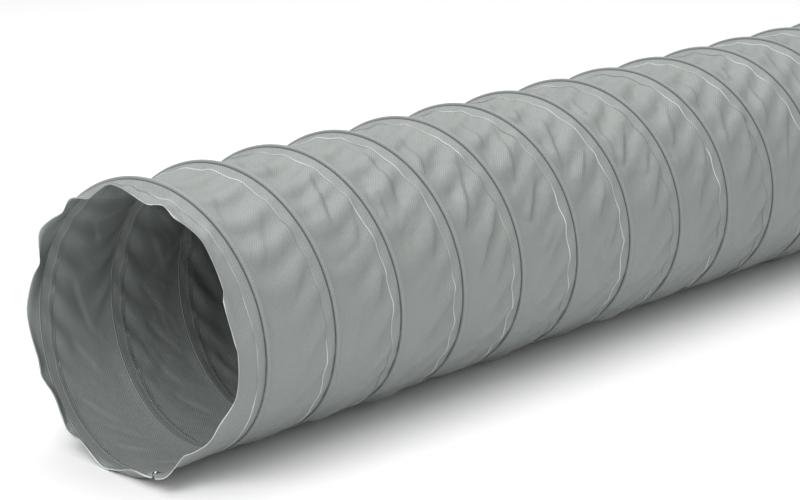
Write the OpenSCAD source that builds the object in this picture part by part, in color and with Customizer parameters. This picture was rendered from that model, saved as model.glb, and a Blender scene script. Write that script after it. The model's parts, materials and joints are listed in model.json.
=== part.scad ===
// Ventilation hose: one long strip of coated fabric, wound into a tube with its
// edges lapped in a right-hand helix, and a spring wire sewn into the lap, which
// holds the tube open. It lies along X, with the bottom of its turns at Z = 0.
// Both ends are cut straight across, through the fabric and the wire.

/* [Hose] */
// Length that the hose is cut to
hose_len = 2500; // [500:50:2600]
// Inside diameter, which slides over the spigot
bore_d = 300; // [150:5:500]
// Distance from one turn of the wire to the next
pitch = 100; // [90:5:150]
// Thickness of the coated fabric
fabric_t = 0.6; // [0.4:0.1:1.2]

/* [Wire] */
// Thickness of the spring wire
wire_d = 2.5; // [1.5:0.1:4]
// Place of the wire's first end round the hose, where -90 is the bottom
wire_start = -117; // [-180:9:180]
// How far the wire stays inside the cut ends
wire_inset = 5; // [5:1:20]

/* [Lap] */
// Width of the outer layer of the lap, from the wire to its raw edge
lap_w = 14; // [8:1:25]
// Slack of the sewn pocket round the wire
pocket_gap = 0.1; // [0.05:0.05:0.5]
// Gap between the wall and what lies on it
seat_gap = 0.05; // [0.05:0.05:0.3]

/* [Hidden] */

// Straight steps in one turn, and sides of the wire
turn_steps = 20;
wire_sides = 5;

step_angle = 360 / turn_steps;
steps = floor((hose_len - 2 * wire_inset) / pitch * turn_steps);
wall_r = bore_d / 2 + fabric_t;

// A straight step cuts inside its arc, so its corners lie further out
seat_r = (wall_r + seat_gap) / cos(step_angle / 2);
wire_r = wire_d / 2;
wire_centre_r = seat_r + wire_r;

// The pocket stands round the wire with its slack
pocket_half = wire_r + pocket_gap;
pocket_top = wire_d + pocket_gap;
pocket_foot = pocket_half * 1.4;
pocket_shoulder = pocket_half * 0.7;

wire_section = [
    for (i = [0:wire_sides - 1])
        let (a = 90 + i * 360 / wire_sides)
            [wire_r * cos(a), wire_centre_r + wire_r * sin(a)]
];

lap_section = [
    [-lap_w, seat_r],
    [-pocket_foot, seat_r],
    [-pocket_shoulder, seat_r + pocket_top],
    [pocket_shoulder, seat_r + pocket_top],
    [pocket_foot, seat_r],
    [pocket_foot + fabric_t * 1.5, seat_r],
    [pocket_shoulder + fabric_t * 0.7, seat_r + pocket_top + fabric_t],
    [-pocket_shoulder - fabric_t * 0.7, seat_r + pocket_top + fabric_t],
    [-pocket_foot - fabric_t, seat_r + fabric_t],
    [-lap_w, seat_r + fabric_t]
];

// Each section in convex pieces, which close the ends of its solid
wire_pieces = [[for (i = [0:wire_sides - 1]) i]];
lap_pieces = [[0, 1, 8, 9], [1, 2, 7, 8], [2, 3, 6, 7], [3, 4, 5, 6]];

// Outermost radius, and how far its lowest corner lies under the axis
lap_top_r = seat_r + pocket_top + fabric_t;
lift = max([for (i = [0:turn_steps]) -lap_top_r * sin(wire_start + i * step_angle)]);

// Place of a section point [along, out] at one step of the helix, cut at the first end
function helix_point(p, i) =
    let (
        a = wire_start + i * step_angle,
        x = p[0] + wire_inset + i * pitch / turn_steps
    )
        [max(x, 0) - hose_len / 2, p[1] * cos(a), p[1] * sin(a)];

// Closed solid of a section that is wound along the helix
module wind(section, pieces) {
    m = len(section);
    points = [for (i = [0:steps], p = section) helix_point(p, i)];
    sides = [
        for (i = [0:steps - 1], j = [0:m - 1])
            let (k = (j + 1) % m, a = i * m, b = a + m)
                each [[a + j, b + j, b + k], [a + j, b + k, a + k]]
    ];
    last_end = [
        for (piece = pieces)
            [for (j = [len(piece) - 1:-1:0]) steps * m + piece[j]]
    ];
    polyhedron(points, concat(sides, pieces, last_end), convexity = 10);
}

module fabric_wall() {
    color([0.45, 0.47, 0.46])
        translate([-hose_len / 2, 0, lift])
            rotate([0, 90, 0])
                difference() {
                    cylinder(h = hose_len, r = wall_r, $fn = 96);
                    translate([0, 0, -1])
                        cylinder(h = hose_len + 2, d = bore_d, $fn = 96);
                }
}

module spring_wire() {
    color([0.62, 0.62, 0.6])
        translate([0, 0, lift])
            wind(wire_section, wire_pieces);
}

module seam_lap() {
    color([0.42, 0.44, 0.43])
        translate([0, 0, lift])
            wind(lap_section, lap_pieces);
}

fabric_wall();
spring_wire();
seam_lap();
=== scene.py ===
import json
import math

import bpy
import numpy as np
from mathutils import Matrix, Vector


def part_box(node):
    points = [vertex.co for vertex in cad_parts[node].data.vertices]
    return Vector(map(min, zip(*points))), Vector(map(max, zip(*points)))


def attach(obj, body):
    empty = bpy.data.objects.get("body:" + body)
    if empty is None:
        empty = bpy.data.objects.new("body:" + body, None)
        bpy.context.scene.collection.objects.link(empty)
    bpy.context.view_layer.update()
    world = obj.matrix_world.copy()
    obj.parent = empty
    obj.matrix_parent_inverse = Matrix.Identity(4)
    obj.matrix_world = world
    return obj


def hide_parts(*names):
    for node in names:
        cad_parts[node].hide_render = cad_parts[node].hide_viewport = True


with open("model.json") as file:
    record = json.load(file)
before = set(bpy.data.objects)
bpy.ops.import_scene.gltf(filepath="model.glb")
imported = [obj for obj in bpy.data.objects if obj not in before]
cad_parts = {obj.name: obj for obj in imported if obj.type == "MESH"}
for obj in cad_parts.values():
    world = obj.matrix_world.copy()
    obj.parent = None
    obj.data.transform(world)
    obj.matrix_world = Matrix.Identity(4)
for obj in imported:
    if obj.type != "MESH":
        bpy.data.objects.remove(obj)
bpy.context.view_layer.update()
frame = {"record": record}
print("frame loaded")

# Ventilation hose lying along X. Angles go round it from +Y over the top, and the
# wire climbs along +X as the angle grows. All lengths are in metres.
wallLow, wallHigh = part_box("fabric_wall")
firstEnd = next(m for m in frame["record"]["mounts"] if m["name"] == "first_end")
fullTurn = 2 * math.pi

hose = {
    "startX": wallLow.x,
    "endX": wallHigh.x,
    "axisHeight": firstEnd["pos_m"][2],
    "bore": firstEnd["dims"]["r_mm"] / 1000,
    "thickness": 0.0006,
    "pitch": 0.1,
    "wireInset": 0.005,
    "wireStart": math.radians(-117),
    "wireRadius": 0.00125,
    "floorGap": 0.0006,
}
wireTurns = (hose["endX"] - hose["startX"] - 2 * hose["wireInset"]) / hose["pitch"]
wireEnd = hose["wireStart"] + fullTurn * wireTurns
wallRadius = hose["bore"] + hose["thickness"] / 2


def helixX(angle):
    # Place along the hose of the seam at an unwound angle
    turns = (angle - hose["wireStart"]) / fullTurn
    return hose["startX"] + hose["wireInset"] + hose["pitch"] * turns


def aroundAxis(x, radius, angle):
    # Point at x, radius and angle, from the circle y = r cos, z = r sin
    return np.stack([
        x + 0 * angle,
        radius * np.cos(angle),
        radius * np.sin(angle) + hose["axisHeight"],
    ], axis=-1)


def outward(angle):
    # Unit vector away from the axis
    return np.stack([0 * angle, np.cos(angle), np.sin(angle)], axis=-1)


def unit(vectors):
    # Each vector over its own length
    return vectors / np.maximum(np.linalg.norm(vectors, axis=-1, keepdims=True), 1e-9)


def smoothStep(x):
    # Rise from 0 to 1 as three t squared less two t cubed
    t = np.clip(x, 0, 1)
    return t * t * (3 - 2 * t)


# The cut edges, in degrees and millimetres. The cut at the mouth is set back from the
# wire's first end by its line, and leans out from the wall or in from it by its waves.
firstCut = {
    "line": [
        (-117, -6), (-90, 0), (-60, 6), (-30, 11), (0, 16), (30, 21), (60, 26), (90, 29),
        (120, 32), (150, 36), (180, 39), (200, 41), (212, 36), (222, 28), (229, 12), (236, -6),
    ],
    "waves": [
        (-117, 5), (-105, -6), (-90, -1), (-83, 3), (-74, -4), (-66, -6), (-58, 2),
        (-47, -9), (-39, -9), (-32, 0), (-25, -6), (-18, -1), (-5, 4), (4, 0), (12, -5),
        (19, -11), (25, -2), (31, 5), (40, -1), (48, -7), (55, -1), (61, -6), (66, -11),
        (74, -5), (80, 0), (86, -2), (94, -7), (100, -10), (105, -9), (110, -2), (113, 0),
        (119, -3), (127, 3), (134, 7), (142, 5), (156, 2), (157.5, -3), (163, -4),
        (170, -2), (176, 1), (177.5, 4), (187, 5), (197, 5), (206, 1), (212, 0), (219, 3),
        (226, 2), (229, 0), (232, 6), (235, 11), (238, 10),
    ],
}
lastCut = {"reach": 4.0, "waves": ((3, 2.0, 0.4), (7, 1.2, 2.1)), "lean": 2.5}


def roundCurve(points, angle):
    # Catmull-Rom curve through (degrees, value) points that goes once round and closes
    points = np.array(points, float)
    base = points[0, 0]
    turned = np.mod(np.degrees(angle) - base, 360) + base
    knots = np.append(points[:, 0], base + 360)
    k = np.clip(np.searchsorted(knots, turned, side="right") - 1, 0, len(points) - 1)
    t = (turned - knots[k]) / (knots[k + 1] - knots[k])
    a, b, c, d = (points[(k + shift) % len(points), 1] for shift in (-1, 0, 1, 2))
    return b + 0.5 * t * (c - a + t * (2 * a - 5 * b + 4 * c - d + t * (3 * (b - c) + d - a)))


def firstEdge(angle):
    # How far the cut at the mouth is set back, and how far it leans out
    back = roundCurve(firstCut["line"], angle)
    lean = roundCurve(firstCut["waves"], angle)
    return back / 1000, lean / 1000


def lastEdge(angle):
    # The cut at the far end: nearly straight, with a few low waves
    reach = lastCut["reach"]
    for count, size, phase in lastCut["waves"]:
        reach = reach + size * (np.sin(count * angle + phase) - 1) / 2
    lean = lastCut["lean"] * (1 + 0.6 * np.sin(9 * angle + 1.3))
    return reach / 1000, lean / 1000


# The cloth between two turns: a strip, as columns round the hose by cells across it.
# Strip 0 runs before the wire and is cut by the mouth, and the last one by the far end.
cloth = {
    "perTurn": 200,
    "across": 20,
    "rounds": 240,
    "spareAlong": (0.002, 0.007),
    "waist": (0.012, 0.030),
    "shear": (0.010, 0.035),
    "uneven": 0.006,
    "easeTurns": 4.0,
    "bend": 0.14,
    "sag": 0.000006,
    "damping": 0.93,
    "seed": 11,
}
columns = int(round((wireTurns + 1) * cloth["perTurn"])) + 1
columnAngle = hose["wireStart"] - fullTurn + np.arange(columns) * fullTurn / cloth["perTurn"]


def cutRange(angle):
    # Lowest and highest share of the strip that the two cuts leave at each angle
    front = helixX(hose["wireStart"]) + firstEdge(angle)[0]
    rear = helixX(wireEnd) + lastEdge(angle)[0]
    low = (front - helixX(angle)) / hose["pitch"]
    high = (rear - helixX(angle)) / hose["pitch"]
    low = np.where(angle < hose["wireStart"] - 1e-6, np.minimum(low, 0.99), 0)
    high = np.where(angle > wireEnd - fullTurn + 1e-6, np.maximum(high, 0.005), 1)
    return low, high


def noiseField(angle, share, rng, count, tilt):
    # Sum of waves over the unrolled strip, most of them tilted along the shear
    along = angle * wallRadius
    across = helixX(angle) + share * hose["pitch"]
    total = 0 * (along + across)
    for _ in range(count):
        length = rng.uniform(0.035, 0.09)
        lean = tilt + rng.normal(0, 0.35)
        phase = rng.uniform(0, fullTurn)
        wave = (along * math.sin(lean) + across * math.cos(lean)) * fullTurn / length
        total = total + np.sin(wave + phase)
    return total / math.sqrt(count)


def settleCloth():
    # Position based cloth: every thread keeps its flat length, which is a little longer and
    # sheared against the wire, so that the strip buckles into folds between two turns
    rng = np.random.default_rng(cloth["seed"])
    n = cloth["across"]
    angle = np.repeat(columnAngle[:, None], n + 1, 1)
    low, high = cutRange(columnAngle)
    share = low[:, None] + (high - low)[:, None] * np.arange(n + 1) / n
    x = helixX(angle) + share * hose["pitch"]

    ease = smoothStep((angle - hose["wireStart"]) / fullTurn / cloth["easeTurns"])

    def eased(key):
        atMouth, further = cloth[key]
        return atMouth + ease * (further - atMouth)

    spareAlong, waist, shear = eased("spareAlong"), eased("waist"), eased("shear")
    noise = noiseField(angle, share, rng, 14, math.radians(62))
    bump = np.sin(np.pi * np.clip(share, 0, 1))
    spareAlong = spareAlong + cloth["uneven"] * ease * noise
    drawnIn = waist * bump * (0.75 + 0.35 * np.sin(angle))

    def flatLength(dx, dAngle, part):
        a = (1 + spareAlong[part]) * dx
        b = (1 - drawnIn[part]) * wallRadius * dAngle + shear[part] * dx
        return np.sqrt(a * a + b * b).astype(np.float32)

    firstLean = firstEdge(angle)[1]
    lastLean = lastEdge(angle)[1]
    atFirst = (share <= low[:, None] + 1e-9) & (angle < hose["wireStart"] - 1e-6)
    atLast = (share >= high[:, None] - 1e-9) & (angle > wireEnd - fullTurn + 1e-6)
    radius = wallRadius + bump * (0.0012 * noise - 0.002)
    radius = np.where(atFirst, wallRadius + firstLean, radius)
    radius = np.where(atLast, wallRadius + lastLean, radius)
    place = aroundAxis(x, radius, angle).astype(np.float32)
    fixed = atFirst | atLast
    fixed[:, 0] |= columnAngle >= hose["wireStart"] - 1e-6
    fixed[:, n] |= columnAngle <= wireEnd - fullTurn + 1e-6
    free = (~fixed).astype(np.float32)[..., None]

    springs = []

    def addSprings(di, dj, stiff, onlyPush=False):
        # Threads between grid points (i, j) and (i + di, j + dj), in sets that share no point
        rows, cols = place.shape[:2]
        block = max(di, abs(dj))
        for first in (start + phase for start in range(block) for phase in (0, block)):
            if di > 0:
                fromRow, rowStep, fromCol, colStep = first, 2 * block, max(0, -dj), 1
            else:
                fromRow, rowStep, fromCol, colStep = 0, 1, first, 2 * block
            endRow, endCol = rows - di, cols - max(0, dj)
            sa = (slice(fromRow, endRow, rowStep), slice(fromCol, endCol, colStep))
            sb = (slice(fromRow + di, endRow + di, rowStep), slice(fromCol + dj, endCol + dj, colStep))
            rest = flatLength(x[sb] - x[sa], angle[sb] - angle[sa], sa)
            scale = stiff / np.maximum(free[sa] + free[sb], 1)
            springs.append((sa, sb, rest[..., None], free[sa] * scale, free[sb] * scale, onlyPush))

    addSprings(1, 0, 1.0)
    addSprings(0, 1, 1.0)
    addSprings(1, 1, 0.7)
    addSprings(1, -1, 0.7)
    addSprings(2, 0, cloth["bend"], True)
    addSprings(0, 2, cloth["bend"], True)
    addSprings(3, 0, cloth["bend"] * 0.6, True)
    addSprings(0, 3, cloth["bend"] * 0.6, True)

    speed = np.zeros_like(place)
    fall = np.array([0, 0, -cloth["sag"]], np.float32)
    floor = np.float32(hose["floorGap"])
    for _ in range(cloth["rounds"]):
        before = place.copy()
        place += (speed * np.float32(cloth["damping"]) + fall) * free
        for sa, sb, rest, wa, wb, onlyPush in springs:
            gap = place[sb] - place[sa]
            size = np.sqrt(np.einsum("ijk,ijk->ij", gap, gap))[..., None] + 1e-9
            off = size - rest
            if onlyPush:
                off = np.minimum(off, 0)
            gap *= off / size
            place[sa] += gap * wa
            place[sb] -= gap * wb
        np.maximum(place[..., 2], floor, out=place[..., 2])
        speed = place - before
    return place.astype(float)


stripPlace = settleCloth()
print("cloth settled")


def smoothWeights(t):
    # Catmull-Rom weights of four neighbours
    return np.stack([
        ((2 - t) * t - 1) * t / 2,
        ((3 * t - 5) * t * t + 2) / 2,
        ((4 - 3 * t) * t + 1) * t / 2,
        (t - 1) * t * t / 2,
    ], axis=0)


def onStrip(angle, share):
    # Place on the settled cloth at an unwound angle and a share of the way to the next turn
    u = (angle - columnAngle[0]) / fullTurn * cloth["perTurn"]
    u = np.clip(u, 0, columns - 1)
    low, high = cutRange(angle)
    v = np.clip((share - low) / (high - low), 0, 1) * cloth["across"]
    iu = np.clip(np.floor(u).astype(int), 0, columns - 2)
    iv = np.clip(np.floor(v).astype(int), 0, cloth["across"] - 1)
    wu = smoothWeights(u - iu)
    wv = smoothWeights(v - iv)
    total = 0
    for a in range(4):
        rows = np.clip(iu + a - 1, 0, columns - 1)
        for b in range(4):
            cols = np.clip(iv + b - 1, 0, cloth["across"])
            total = total + stripPlace[rows, cols] * (wu[a] * wv[b])[..., None]
    return total


# Folds over the settled cloth. Each is the turn it is on, the angle and the share of the
# way to the next turn where it starts and where it ends lower down, and its width and height
# in millimetres. Those that the view shows are listed, and the rest are drawn.
folds = {
    "seen": [
        (0, 103, 0.50, 128, 0.12, 18, 1.6), (0, 120, 0.80, 152, 0.22, 24, 2.2),
        (0, 145, 0.92, 168, 0.48, 18, 1.8), (0, 178, 0.80, 205, 0.40, 26, 1.2),
        (1, 86, 0.65, 106, 0.35, 20, 2.2), (1, 110, 0.78, 139, 0.42, 18, 4.6),
        (1, 126, 0.92, 152, 0.62, 22, 3.6), (1, 152, 0.88, 178, 0.66, 22, 3.2),
        (1, 170, 0.48, 200, 0.20, 26, 2.0), (1, 198, 0.95, 214, 0.45, 22, 2.0),
        (2, 96, 0.78, 139, 0.50, 28, 5.4), (2, 128, 0.34, 144, 0.22, 12, 2.8),
        (2, 132, 0.94, 166, 0.62, 30, 3.6), (2, 164, 0.76, 180, 0.28, 10, 1.6),
        (2, 180, 0.75, 200, 0.42, 22, 1.6), (2, 197, 0.98, 216, 0.35, 24, 3.2),
        (3, 103, 0.52, 130, 0.12, 13, 4.2), (3, 112, 0.92, 126, 0.74, 16, 2.6),
        (3, 126, 0.78, 157, 0.26, 15, 5.6), (3, 147, 0.92, 176, 0.34, 15, 4.6),
        (3, 166, 0.86, 186, 0.56, 16, 2.2), (3, 196, 0.95, 214, 0.40, 22, 2.8),
        (4, 98, 0.62, 120, 0.38, 11, 4.0), (4, 110, 0.84, 141, 0.40, 19, 5.6),
        (4, 142, 0.74, 161, 0.32, 12, 5.6), (4, 162, 0.84, 177, 0.42, 15, 3.4),
        (4, 196, 0.70, 203, 0.30, 12, 2.4), (4, 200, 0.98, 216, 0.50, 22, 2.8),
        (5, 96, 0.58, 108, 0.40, 9, 3.0), (5, 111, 0.70, 138, 0.24, 15, 5.2),
        (5, 129, 0.92, 151, 0.40, 15, 4.4), (5, 150, 0.86, 168, 0.50, 15, 4.2),
        (5, 168, 0.86, 190, 0.60, 13, 2.4), (5, 197, 0.90, 212, 0.30, 20, 2.8),
        (6, 102, 0.56, 117, 0.34, 10, 4.4), (6, 119, 0.40, 150, 0.08, 12, 2.6),
        (6, 129, 0.74, 148, 0.24, 17, 5.6), (6, 139, 0.92, 156, 0.58, 16, 3.8),
        (6, 152, 0.88, 174, 0.48, 22, 3.8), (6, 196, 0.92, 212, 0.28, 20, 3.0),
        (7, 108, 0.32, 118, 0.16, 9, 2.6), (7, 118, 0.86, 138, 0.42, 14, 3.2),
        (7, 132, 0.62, 146, 0.34, 11, 3.2), (7, 143, 0.94, 161, 0.68, 13, 4.2),
        (7, 160, 0.70, 184, 0.36, 14, 2.0), (7, 198, 0.92, 213, 0.35, 20, 2.6),
        (8, 110, 0.60, 128, 0.30, 13, 3.2), (8, 129, 0.68, 153, 0.28, 15, 4.6),
        (8, 135, 0.92, 157, 0.74, 16, 4.0), (8, 156, 0.80, 172, 0.46, 15, 3.2),
        (8, 198, 0.95, 214, 0.40, 20, 2.8),
        (9, 104, 0.56, 116, 0.40, 9, 3.4), (9, 119, 0.64, 149, 0.28, 14, 4.6),
        (9, 140, 0.90, 171, 0.34, 18, 4.2), (9, 180, 0.80, 200, 0.45, 16, 2.0),
        (9, 200, 0.95, 215, 0.40, 20, 2.6),
    ],
    "lastSeen": 10,
    "seenAngles": (84, 222),
    "stepAngle": 19,
    "startShare": (0.62, 0.92),
    "fallAngle": (15, 34),
    "endShare": (0.18, 0.48),
    "width": (10, 22),
    "height": (2.0, 5.0),
    "calmHeight": 0.3,
    "steepSide": 0.34,
    "seed": 5,
}
creases = {"lean": math.radians(32), "sizes": ((46, 24, 1.1), (24, 13, 0.7), (12, 8, 0.22)), "seed": 3}


def allFolds():
    # The folds in view, and drawn ones on every other stretch of the strip
    rng = np.random.default_rng(folds["seed"])
    rows = list(folds["seen"])
    low, high = folds["seenAngles"]
    for turn in range(-1, int(wireTurns) + 1):
        for start in np.arange(-117, 243, folds["stepAngle"]):
            at = start + rng.uniform(-6, 6)
            fall = rng.uniform(*folds["fallAngle"])
            shares = rng.uniform(*folds["startShare"]), rng.uniform(*folds["endShare"])
            width = rng.uniform(*folds["width"])
            height = rng.uniform(*folds["height"])
            inView = 0 <= turn < folds["lastSeen"] and low - 0.6 * fall < at < high
            if inView:
                continue
            calm = folds["calmHeight"] + (1 - folds["calmHeight"]) * min(1, max(0, (turn + at / 360) / 3))
            rows.append((turn, at, shares[0], at + fall, shares[1], width, height * calm))
    return rows


foldRows = allFolds()


def latticeNoise(x, y, seed):
    # Gradient noise: slopes drawn at whole numbers, blended smoothly between them
    rng = np.random.default_rng(seed)
    slopes = rng.uniform(0, fullTurn, (64, 256))
    ix = np.floor(x).astype(int)
    iy = np.floor(y).astype(int)
    fx, fy = x - ix, y - iy

    def corner(dx, dy):
        slope = slopes[(iy + dy) % 64, (ix + dx) % 256]
        return np.cos(slope) * (fx - dx) + np.sin(slope) * (fy - dy)

    sx, sy = smoothStep(fx), smoothStep(fy)
    lower = corner(0, 0) * (1 - sx) + corner(1, 0) * sx
    upper = corner(0, 1) * (1 - sx) + corner(1, 1) * sx
    return 1.6 * (lower * (1 - sy) + upper * sy)


def foldLift(angle, share):
    # Height of the folds over the settled cloth. A fold rises along its length and ends in a
    # blunt tongue. Its side towards the mouth is a long slope, and the other side is steep.
    along = angle * wallRadius * 1000
    across = (helixX(angle) + share * hose["pitch"]) * 1000
    lift = 0 * along
    first = angle[:, 0]
    for turn, fromAngle, fromShare, toAngle, toShare, width, height in foldRows:
        a0, a1 = math.radians(turn * 360 + fromAngle), math.radians(turn * 360 + toAngle)
        pad = 2.2 * width / 1000 / wallRadius
        i0, i1 = np.searchsorted(first, (a0 - pad, a1 + pad))
        if i1 <= i0:
            continue
        start = np.array([a0 * wallRadius, helixX(a0) + fromShare * hose["pitch"]]) * 1000
        end = np.array([a1 * wallRadius, helixX(a1) + toShare * hose["pitch"]]) * 1000
        length = math.hypot(*(end - start))
        direction = (end - start) / length
        px = along[i0:i1] - start[0]
        py = across[i0:i1] - start[1]
        u = (px * direction[0] + py * direction[1]) / length
        v = (py * direction[0] - px * direction[1]) / width
        bend = v + 0.5 * (u - 0.5) ** 2
        wide = 0.5 + 0.5 * np.clip(u, 0, 1)
        rise = smoothStep((u + 0.1) / 0.75) * smoothStep((1.12 - u) / 0.3)
        slope = np.exp(-1.3 * np.minimum(bend / wide, 0) ** 2)
        drop = 1 - smoothStep(bend / folds["steepSide"] / wide)
        lift[i0:i1] += height * rise * slope * drop
    ease = 0.35 + 0.65 * smoothStep((angle - hose["wireStart"]) / fullTurn / 3)
    cosLean, sinLean = math.cos(creases["lean"]), math.sin(creases["lean"])
    p = along * cosLean - across * sinLean
    q = along * sinLean + across * cosLean
    for number, (length, width, height) in enumerate(creases["sizes"]):
        noise = latticeNoise(p / length, q / width, creases["seed"] + number)
        lift += ease * height * (noise if number != 1 else 0.6 - 2 * np.abs(noise))
    low, high = cutRange(angle)
    nearFirst = smoothStep((share - low) / 0.12) * 0.75 + 0.25
    start = np.where(angle < hose["wireStart"], nearFirst, smoothStep(share / 0.13))
    finish = np.where(high < 1, smoothStep((high - share) / 0.12), 1)
    return lift * start * finish * smoothStep((1 - share) / 0.15) / 1000


def onHose(angle, share):
    # The cloth with its folds
    return onStrip(angle, share) + outward(angle) * foldLift(angle, share)[..., None]


def hoseNormal(angle, share):
    # Outward normal from the two directions along the cloth
    dA = 0.35 * fullTurn / cloth["perTurn"]
    dS = 0.012
    low, high = cutRange(angle)
    before, after = np.maximum(share - dS, low), np.minimum(share + dS, high)
    around = onHose(angle + dA, share) - onHose(angle - dA, share)
    along = onHose(angle, after) - onHose(angle, before)
    normal = unit(np.cross(around, along))
    flip = np.sign((normal * outward(angle)).sum(-1, keepdims=True))
    return unit(normal * flip + 0.05 * outward(angle))


def newPiece(name, points, faces, uv=None, marks=None, finish=(), faceFinish=None):
    # Puts points and faces into a mesh object that rides on the hose
    mesh = bpy.data.meshes.new(name)
    mesh.from_pydata(points.tolist(), [], faces)
    if uv is not None:
        layer = mesh.uv_layers.new(name="weave")
        corner = np.empty(len(mesh.loops), np.int32)
        mesh.loops.foreach_get("vertex_index", corner)
        layer.data.foreach_set("uv", uv[corner].astype(np.float32).ravel())
    for markName, values in (marks or {}).items():
        mark = mesh.attributes.new(markName, "FLOAT", "POINT")
        mark.data.foreach_set("value", values.astype(np.float32))
    for material in finish:
        mesh.materials.append(material)
    if faceFinish is not None:
        mesh.polygons.foreach_set("material_index", np.asarray(faceFinish, np.int32))
    mesh.polygons.foreach_set("use_smooth", np.ones(len(mesh.polygons), bool))
    mesh.update()
    piece = bpy.data.objects.new(name, mesh)
    bpy.context.scene.collection.objects.link(piece)
    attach(piece, "root")
    return piece


def newMaterial(name):
    material = bpy.data.materials.new(name)
    material.use_nodes = True
    nodes = material.node_tree.nodes
    links = material.node_tree.links
    return material, nodes, links, nodes["Principled BSDF"]


def addMath(nodes, links, kind, a, b=None):
    # One sum of two sockets or numbers
    node = nodes.new("ShaderNodeMath")
    node.operation = kind
    for socket, value in zip(node.inputs, (a, b)):
        if value is None:
            continue
        if isinstance(value, (int, float)):
            socket.default_value = value
        else:
            links.new(value, socket)
    return node.outputs[0]


def addMix(nodes, links, amount, a, b):
    # Blend of two colours by an amount
    node = nodes.new("ShaderNodeMix")
    node.data_type = "RGBA"
    for socket, value in ((node.inputs[0], amount), (node.inputs[6], a), (node.inputs[7], b)):
        if isinstance(value, (int, float, tuple)):
            socket.default_value = value
        else:
            links.new(value, socket)
    return node.outputs[2]


fabricLook = {
    "colour": (0.225, 0.245, 0.235, 1),
    "shade": (0.180, 0.197, 0.191, 1),
    # The light dot colour is a painted highlight: glints off the coat on the weave crowns.
    "glint": (0.36, 0.38, 0.365, 1),
    "edge": (0.60, 0.62, 0.60, 1),
    "threads": 625.0,
    "glintShare": 0.55,
    "weaveDepth": 0.0003,
    "edgeWidth": 0.0009,
    "roughness": 0.46,
    "crumpleScale": 70,
    "crumpleDepth": 0.0008,
}


def makeFabric(name, look, hasCut):
    # Plain weave under a thin coat: two sets of threads that go over and under each other
    material, nodes, links, shader = newMaterial(name)
    uvMap = nodes.new("ShaderNodeUVMap")
    uvMap.uv_map = "weave"
    place = nodes.new("ShaderNodeTexCoord").outputs["Object"]
    axes = nodes.new("ShaderNodeSeparateXYZ")
    links.new(uvMap.outputs[0], axes.inputs[0])
    turn = math.pi * look["threads"]
    along = addMath(nodes, links, "SINE", addMath(nodes, links, "MULTIPLY", axes.outputs[0], turn))
    across = addMath(nodes, links, "SINE", addMath(nodes, links, "MULTIPLY", axes.outputs[1], turn))
    cross = addMath(nodes, links, "MULTIPLY", along, across)
    weave = addMath(nodes, links, "ADD", addMath(nodes, links, "MULTIPLY", cross, 0.5), 0.5)

    broad = nodes.new("ShaderNodeTexNoise")
    broad.inputs["Scale"].default_value = 9
    broad.inputs["Detail"].default_value = 3
    links.new(place, broad.inputs["Vector"])
    fine = nodes.new("ShaderNodeTexNoise")
    fine.inputs["Scale"].default_value = 420
    fine.inputs["Detail"].default_value = 2
    links.new(place, fine.inputs["Vector"])
    tone = addMix(nodes, links, broad.outputs[0], look["shade"], look["colour"])
    # Painted highlights: in noisy patches, the crowns of the weave take the light dot colour in place of
    # glints off the glossy coat.
    raised = addMath(nodes, links, "POWER", weave, 2.0)
    uneven = addMath(nodes, links, "MULTIPLY", raised, fine.outputs[0])
    paintedGlints = addMath(nodes, links, "MULTIPLY", uneven, 2 * look["glintShare"])
    tone = addMix(nodes, links, paintedGlints, tone, look["glint"])
    if hasCut:
        mark = nodes.new("ShaderNodeAttribute")
        mark.attribute_name = "fromCut"
        atEdge = addMath(nodes, links, "LESS_THAN", mark.outputs["Fac"], look["edgeWidth"])
        tone = addMix(nodes, links, atEdge, tone, look["edge"])
    links.new(tone, shader.inputs["Base Color"])

    ramp = nodes.new("ShaderNodeMapRange")
    ramp.inputs["To Min"].default_value = look["roughness"] - 0.06
    ramp.inputs["To Max"].default_value = look["roughness"] + 0.1
    links.new(fine.outputs[0], ramp.inputs[0])
    links.new(ramp.outputs[0], shader.inputs["Roughness"])
    shader.inputs["Specular IOR Level"].default_value = 0.5

    first = nodes.new("ShaderNodeBump")
    first.inputs["Distance"].default_value = look["weaveDepth"]
    first.inputs["Strength"].default_value = 0.8
    links.new(weave, first.inputs["Height"])
    crumple = nodes.new("ShaderNodeTexNoise")
    crumple.inputs["Scale"].default_value = look["crumpleScale"]
    crumple.inputs["Detail"].default_value = 3
    crumple.inputs["Distortion"].default_value = 0.5
    links.new(place, crumple.inputs["Vector"])
    second = nodes.new("ShaderNodeBump")
    second.inputs["Distance"].default_value = look["crumpleDepth"]
    second.inputs["Strength"].default_value = 0.5
    links.new(crumple.outputs[0], second.inputs["Height"])
    links.new(first.outputs[0], second.inputs["Normal"])
    links.new(second.outputs[0], shader.inputs["Normal"])
    return material


def makePlain(name, colour, roughness, metal=0.0):
    # One colour with a fine darker grain
    material, nodes, links, shader = newMaterial(name)
    grain = nodes.new("ShaderNodeTexNoise")
    grain.inputs["Scale"].default_value = 900
    links.new(nodes.new("ShaderNodeTexCoord").outputs["Object"], grain.inputs["Vector"])
    dark = tuple(0.8 * c for c in colour[:3]) + (1,)
    links.new(addMix(nodes, links, grain.outputs[0], dark, colour), shader.inputs["Base Color"])
    shader.inputs["Roughness"].default_value = roughness
    shader.inputs["Metallic"].default_value = metal
    return material


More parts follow.
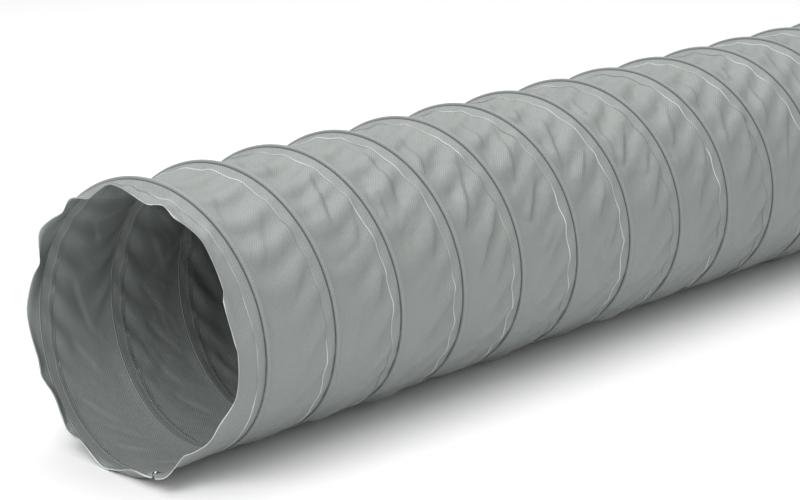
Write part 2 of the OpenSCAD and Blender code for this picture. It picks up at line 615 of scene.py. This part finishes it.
def makeRawEdge(name, look):
    # Light cut threads that show in some stretches and are greyer in others
    material, nodes, links, shader = newMaterial(name)
    patches = nodes.new("ShaderNodeTexNoise")
    patches.inputs["Scale"].default_value = 11
    patches.inputs["Detail"].default_value = 2
    links.new(nodes.new("ShaderNodeTexCoord").outputs["Object"], patches.inputs["Vector"])
    ramp = nodes.new("ShaderNodeMapRange")
    ramp.inputs["From Min"].default_value = 0.42
    ramp.inputs["From Max"].default_value = 0.6
    links.new(patches.outputs[0], ramp.inputs[0])
    links.new(addMix(nodes, links, ramp.outputs[0], look["colour"], look["edge"]),
              shader.inputs["Base Color"])
    shader.inputs["Roughness"].default_value = 0.8
    return material


coatedFabric = makeFabric("coatedFabric", fabricLook, True)
lapFabric = makeFabric("lapFabric", fabricLook, False)
rawEdge = makeRawEdge("rawEdge", fabricLook)
# Painted shade: a near black colour for the groove beside the bead, the valley between the inner ridges
# and the outer lap's end caps, where shade falls.
paintedGrooveShade = makePlain("paintedGrooveShade", (0.085, 0.092, 0.09, 1), 0.75)
thread = makePlain("sewingThread", (0.55, 0.57, 0.55, 1), 0.6)
steel = makePlain("springSteel", (0.62, 0.61, 0.58, 1), 0.28, 1.0)
print("materials made")

# The wall, as double layered pieces that meet at the bottom of the hose. The steps are
# degrees between columns where the view sees the wall, and where it doesn't.
wall = {
    "pieces": [
        {"toTurn": 2, "step": 1.0, "hiddenStep": 1.1, "across": 32},
        {"toTurn": 7, "step": 1.0, "hiddenStep": 2.6, "across": 32},
        {"toTurn": 12, "step": 1.05, "hiddenStep": 2.8, "across": 32},
        {"toTurn": None, "step": 3.5, "hiddenStep": 3.9, "across": 12},
    ],
    "inView": (62, 250),
    "partAngle": -97,
}


def spacedAngles(start, end, step, hiddenStep):
    # Angles from start to end with the finer step where the view sees the wall
    probe = np.linspace(start, end, 40000)
    turned = np.mod(np.degrees(probe), 360)
    seen = (turned > wall["inView"][0]) & (turned < wall["inView"][1])
    perAngle = 1 / np.radians(np.where(seen, step, hiddenStep))
    count = np.concatenate([[0], np.cumsum(perAngle[1:] * np.diff(probe))])
    return np.interp(np.linspace(0, count[-1], int(math.ceil(count[-1])) + 1), count, probe)


def wallPiece(name, angle, across):
    # Both faces of the strip between two angles, closed round its rim
    count = len(angle) - 1
    low, high = cutRange(angle)
    angleGrid = np.repeat(angle[:, None], across + 1, 1)
    share = low[:, None] + (high - low)[:, None] * np.arange(across + 1) / across
    middle = onHose(angleGrid, share)
    normal = hoseNormal(angleGrid, share)
    points = np.stack([
        middle + normal * hose["thickness"] / 2,
        middle - normal * hose["thickness"] / 2,
    ])
    points[0, ..., 2] = np.maximum(points[0, ..., 2], 0.0002)
    points[1, ..., 2] = np.maximum(points[1, ..., 2], 0.0008)
    index = np.arange((count + 1) * (across + 1)).reshape(count + 1, across + 1)
    layer = index.size
    quads = np.stack([
        index[:-1, :-1], index[1:, :-1], index[1:, 1:], index[:-1, 1:],
    ], axis=-1).reshape(-1, 4)
    rimLine = np.concatenate([index[:-1, 0], index[-1, :-1], index[:0:-1, -1], index[0, :0:-1]])
    nextOne = np.roll(rimLine, -1)
    rim = np.stack([nextOne, rimLine, rimLine + layer, nextOne + layer], axis=-1)
    faces = np.concatenate([quads, quads[:, ::-1] + layer, rim])
    finish = [0] * (2 * len(quads)) + [1] * len(rim)
    uv = np.stack([angleGrid * wallRadius, share * hose["pitch"]], axis=-1).reshape(-1, 2)
    beforeCut = np.where(angleGrid < hose["wireStart"], share - low[:, None], 1)
    afterCut = np.where(angleGrid > wireEnd - fullTurn, high[:, None] - share, 1)
    fromCut = np.minimum(beforeCut, afterCut).ravel() * hose["pitch"]
    piece = newPiece(
        name, points.reshape(-1, 3), faces.tolist(), np.concatenate([uv, uv]),
        {"fromCut": np.concatenate([fromCut, fromCut])}, (coatedFabric, rawEdge), finish,
    )
    piece.data.set_sharp_from_angle(angle=math.radians(60))
    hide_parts("fabric_wall")
    return piece


def makeWall():
    # The whole strip, piece after piece from the mouth to the far end
    start = hose["wireStart"] - fullTurn
    for number, part in enumerate(wall["pieces"]):
        if part["toTurn"] is None:
            end = wireEnd
        else:
            end = math.radians(wall["partAngle"] + 360 * part["toTurn"])
        angle = spacedAngles(start, end, part["step"], part["hiddenStep"])
        wallPiece("wall_" + str(number + 1), angle, part["across"])
        start = end


makeWall()
print("wall made")

# The lap: the strip's outer edge over the wire, and its inner edge inside the hose. The
# profiles are (towards the far end, outwards, finish) in millimetres from the seam; finish 2 is painted
# shade, a near black colour in the groove beside the bead and between the inner ridges.
lap = {
    "outer": {
        "frontTurns": 12, "step": 1.8, "hiddenStep": 2.6, "rearStep": 3.7,
        "band": [(-14.2, 0.3, 1), (-14.0, 1.0, 1), (-13.4, 1.05, 0), (-8.0, 1.0, 0),
                 (-4.2, 0.95, 0), (-3.1, 0.6, 2), (-2.5, 0.35, 2)],
        "bead": {"centre": (0.0, 1.9), "radius": 1.95, "arc": (208, -22), "steps": 8},
        "foot": [(2.6, 0.45, 0), (3.4, 0.28, 0), (2.0, -0.1, 0), (-2.5, -0.1, 0), (-8.0, 0.1, 0)],
    },
    "inner": {
        "frontTurns": 3, "step": 1.8, "hiddenStep": 1.8, "rearStep": 3.7,
        "band": [(-1.5, -0.25, 0), (-1.1, -0.85, 0), (-0.5, -0.8, 0), (0.0, -0.45, 2),
                 (0.5, -0.8, 0), (1.1, -0.9, 0), (2.4, -0.75, 0), (10.0, -0.85, 0),
                 (16.6, -0.8, 1), (17.2, -0.25, 0), (9.0, 0.0, 0), (0.0, 0.0, 0)],
    },
}


def lapAngles(part):
    # Columns of a lap, finer over the turns that the view shows
    middle = hose["wireStart"] + fullTurn * part["frontTurns"]
    front = spacedAngles(hose["wireStart"], middle, part["step"], part["hiddenStep"])
    rear = spacedAngles(middle, wireEnd, part["rearStep"], part["rearStep"])
    return np.concatenate([front, rear[1:]])


def sweepLap(name, part, profile, endFinish):
    # A closed profile carried along the seam on the cloth. Next to the seam it keeps its
    # place on the helix, and further off it follows the cloth with its folds.
    line = lapAngles(part)
    across, height, finish = np.array(profile, float).T
    angle = np.repeat(line[:, None], len(across), 1)
    q = np.repeat(across[None, :], len(line), 0) / 1000
    cut = helixX(hose["wireStart"]) + firstEdge(line)[0] - helixX(line)
    cut = np.where(line < hose["wireStart"] + fullTurn, cut, -1)
    q = np.maximum(q, np.minimum(cut, -0.0026)[:, None])
    share = q / hose["pitch"]
    onBefore = (q < 0)[..., None]
    base = np.where(onBefore, onHose(angle - fullTurn, 1 + share), onHose(angle, share))
    normal = np.where(
        onBefore,
        hoseNormal(angle - fullTurn, 1 + np.minimum(share, -0.03)),
        hoseNormal(angle, np.maximum(share, 0.03)),
    )
    held = smoothStep((0.0062 - np.abs(q)) / 0.003)[..., None]
    seam = aroundAxis(helixX(angle), wallRadius, angle) + q[..., None] * np.array([1.0, 0, 0])
    base = base * (1 - held) + seam * held
    normal = unit(normal * (1 - held) + outward(angle) * held)
    points = base + normal * height[None, :, None] / 1000
    points[..., 2] = np.maximum(points[..., 2], 0.0001)
    rows, m = points.shape[:2]
    index = np.arange(rows * m).reshape(rows, m)
    nextOne = np.roll(index, -1, axis=1)
    quads = np.stack([index[:-1], nextOne[:-1], nextOne[1:], index[1:]], axis=-1).reshape(-1, 4)
    caps = np.stack([index[0, ::-1], index[-1]])
    if (across * np.roll(height, -1) - height * np.roll(across, -1)).sum() < 0:
        # This profile runs clockwise, so its faces are turned to point outwards
        quads, caps = quads[:, ::-1], caps[:, ::-1]
    faces = quads.tolist() + caps.tolist()
    faceFinish = np.tile(finish, rows - 1).astype(int).tolist() + [endFinish, endFinish]
    uv = np.stack([angle * wallRadius, q], axis=-1).reshape(-1, 2)
    piece = newPiece(
        name, points.reshape(-1, 3), faces, uv, None, (lapFabric, rawEdge, paintedGrooveShade), faceFinish,
    )
    piece.data.set_sharp_from_angle(angle=math.radians(48))
    return piece


def beadArc(bead):
    # Points on a circle from the groove over the wire to the foot
    angles = np.radians(np.linspace(*bead["arc"], bead["steps"]))
    x, y = bead["centre"]
    return [(x + bead["radius"] * math.cos(a), y + bead["radius"] * math.sin(a), 0) for a in angles]


def makeLaps():
    # Both edges of the lap
    outer = lap["outer"]
    profile = outer["band"] + beadArc(outer["bead"]) + outer["foot"]
    # The outer lap's end caps take the painted shade, as a dark pocket hole.
    outerLap = sweepLap("outer_lap", outer, profile, 2)
    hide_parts("seam_lap")
    sweepLap("inner_lap", lap["inner"], lap["inner"]["band"], 0)


makeLaps()
print("laps made")

wire = {"perTurn": 60, "sides": 6, "stub": 0.003}


def sweepWire():
    # Round section carried along the helix, with a stub past the lap at each end
    extra = wire["stub"] / wallRadius
    count = int(wireTurns * wire["perTurn"])
    angle = np.linspace(hose["wireStart"] - extra, wireEnd + extra, count + 1)
    centre = wallRadius + hose["thickness"] / 2 + hose["wireRadius"]
    side = np.arange(wire["sides"]) * fullTurn / wire["sides"]
    a = np.repeat(angle[:, None], wire["sides"], 1)
    points = aroundAxis(
        helixX(a) + hose["wireRadius"] * np.cos(side),
        centre + hose["wireRadius"] * np.sin(side), a,
    )
    index = np.arange(points[..., 0].size).reshape(count + 1, wire["sides"])
    nextOne = np.roll(index, -1, axis=1)
    quads = np.stack([index[:-1], nextOne[:-1], nextOne[1:], index[1:]], axis=-1)
    faces = quads.reshape(-1, 4).tolist() + [index[0, ::-1].tolist(), index[-1].tolist()]
    piece = newPiece("spring_wire_round", points.reshape(-1, 3), faces, finish=(steel,))
    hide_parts("spring_wire")


sweepWire()
print("wire made")

# Sewing thread. A stitch that the view shows is two rings of four points between two tips,
# and one that it doesn't show is a single ring.
stitch = {
    "step": 0.0028, "width": 0.0008, "height": 0.0006,
    "full": ((-0.5, 0.8), (0.5, 0.8)),
    "plain": ((0.0, 1.0),),
    "rows": {
        "crest": {"side": 52, "lean": 0.45, "length": 0.0021, "fullTurns": 12},
        "inside": {"place": 0.0155, "lean": 0.1, "length": 0.0017, "fullTurns": 3},
        "insideZigzag": {"place": 0.0105, "lean": 0.9, "length": 0.0019, "fullTurns": 3},
    },
}


def sewStitches(name, centres, out, along, row, rings):
    # Small closed stitches that lean across the seam by turns
    lean = row["lean"] * np.where(np.arange(len(centres)) % 2, 1, -1)[:, None]
    if name.startswith("crest"):
        lean = np.abs(lean)
    direction = unit(along + lean * unit(np.cross(out, along)))
    side = unit(np.cross(out, direction))
    length, width, height = row["length"] / 2, stitch["width"] / 2, stitch["height"] / 2
    shape = [(-1, 0, 0)]
    for place, size in rings:
        shape += [(place, size, 0), (place, 0, size), (place, -size, 0), (place, 0, -size)]
    shape.append((1, 0, 0))
    points = np.stack([
        centres + direction * p * length + side * q * width + out * r * height for p, q, r in shape
    ], axis=1)
    points[..., 2] = np.maximum(points[..., 2], 0.0001)
    single = []
    last = len(shape) - 1
    for k in range(4):
        n = (k + 1) % 4
        single += [(0, 1 + n, 1 + k), (last, last - 4 + k, last - 4 + n)]
        if len(rings) == 2:
            single += [(1 + k, 5 + n, 5 + k), (1 + k, 1 + n, 5 + n)]
    start = np.arange(len(centres))[:, None, None] * len(shape)
    faces = (start + np.array(single)[None]).reshape(-1, 3).tolist()
    piece = newPiece(name, points.reshape(-1, 3), faces, finish=(thread,))


def makeStitches():
    # Stitches at even steps along the helix, on the bead and on the cloth inside
    step = stitch["step"] / wallRadius
    angle = np.arange(hose["wireStart"] + step, wireEnd - step, step)
    near, far = angle + 0.01, angle - 0.01
    along = unit(aroundAxis(helixX(near), wallRadius, near) - aroundAxis(helixX(far), wallRadius, far))
    bead = lap["outer"]["bead"]
    for key, row in stitch["rows"].items():
        if key == "crest":
            side = math.radians(row["side"])
            out = unit(outward(angle) * math.sin(side) + np.array([math.cos(side), 0, 0]))
            centres = aroundAxis(helixX(angle), wallRadius + bead["centre"][1] / 1000, angle)
            centres = centres + out * bead["radius"] / 1000
        else:
            share = np.full((len(angle), 1), row["place"] / hose["pitch"])
            out = -hoseNormal(angle[:, None], share)[:, 0]
            centres = onHose(angle[:, None], share)[:, 0] + out * 0.0009
        seen = int(row["fullTurns"] * fullTurn / step)
        sewStitches(key + "_stitches", centres[:seen], out[:seen], along[:seen], row, stitch["full"])
        sewStitches(key + "_stitches_far", centres[seen:], out[seen:], along[seen:], row, stitch["plain"])


makeStitches()
print("stitches made")

# Pale floor, soft light from the left and above, and the photo's view.
studio = {
    "floorSize": 40.0,
    "floorColour": (0.86, 0.86, 0.86, 1),
    "skyStrength": 0.75,
    "lights": {
        "key": {"place": (-3.2, -0.6, 2.6), "size": 2.2, "power": 70, "aim": (-0.6, 0, 0.15)},
        "top": {"place": (0.2, 0.6, 3.2), "size": 3.0, "power": 60, "aim": (-0.2, 0, 0.1)},
    },
}


def makeFloor():
    half = studio["floorSize"] / 2
    mesh = bpy.data.meshes.new("floor")
    corners = [(-half, -half, 0), (half, -half, 0), (half, half, 0), (-half, half, 0)]
    mesh.from_pydata(corners, [], [(0, 1, 2, 3)])
    floor = bpy.data.objects.new("floor", mesh)
    bpy.context.scene.collection.objects.link(floor)
    material, nodes, links, shader = newMaterial("paleFloor")
    shader.inputs["Base Color"].default_value = studio["floorColour"]
    shader.inputs["Roughness"].default_value = 0.9
    shader.inputs["Specular IOR Level"].default_value = 0.1
    mesh.materials.append(material)


def aimAt(thing, place, target):
    # Places a lamp or a camera, and turns it to look at its target
    thing.location = place
    direction = Vector(target) - Vector(place)
    thing.rotation_euler = direction.to_track_quat("-Z", "Y").to_euler()


def makeLights():
    world = bpy.data.worlds.new("studio")
    bpy.context.scene.world = world
    world.use_nodes = True
    sky = world.node_tree.nodes["Background"]
    sky.inputs[0].default_value = (1, 1, 1, 1)
    sky.inputs[1].default_value = studio["skyStrength"]
    for name, light in studio["lights"].items():
        data = bpy.data.lights.new(name, "AREA")
        data.size = light["size"]
        data.energy = light["power"]
        lamp = bpy.data.objects.new(name, data)
        bpy.context.scene.collection.objects.link(lamp)
        aimAt(lamp, light["place"], light["aim"])


view = {
    "back": (-1.47269, -1.75772, 0.71553),
    "azimuth": math.radians(43.06),
    "elevation": math.radians(15.56),
    "lens": 103.4,
}


def makeCamera():
    # The view is measured from the seam's point at angle zero on its first turn
    data = bpy.data.cameras.new("camera")
    data.lens = view["lens"]
    data.sensor_width = 36
    data.clip_end = 100
    camera = bpy.data.objects.new("camera", data)
    bpy.context.scene.collection.objects.link(camera)
    place = (
        float(helixX(0.0)) + view["back"][0],
        view["back"][1],
        hose["axisHeight"] + view["back"][2],
    )
    ahead = (
        math.cos(view["elevation"]) * math.cos(view["azimuth"]),
        math.cos(view["elevation"]) * math.sin(view["azimuth"]),
        -math.sin(view["elevation"]),
    )
    aimAt(camera, place, tuple(p + a for p, a in zip(place, ahead)))
    bpy.context.scene.camera = camera


makeFloor()
makeLights()
makeCamera()
bpy.context.scene.view_settings.view_transform = "Standard"
print("studio made")
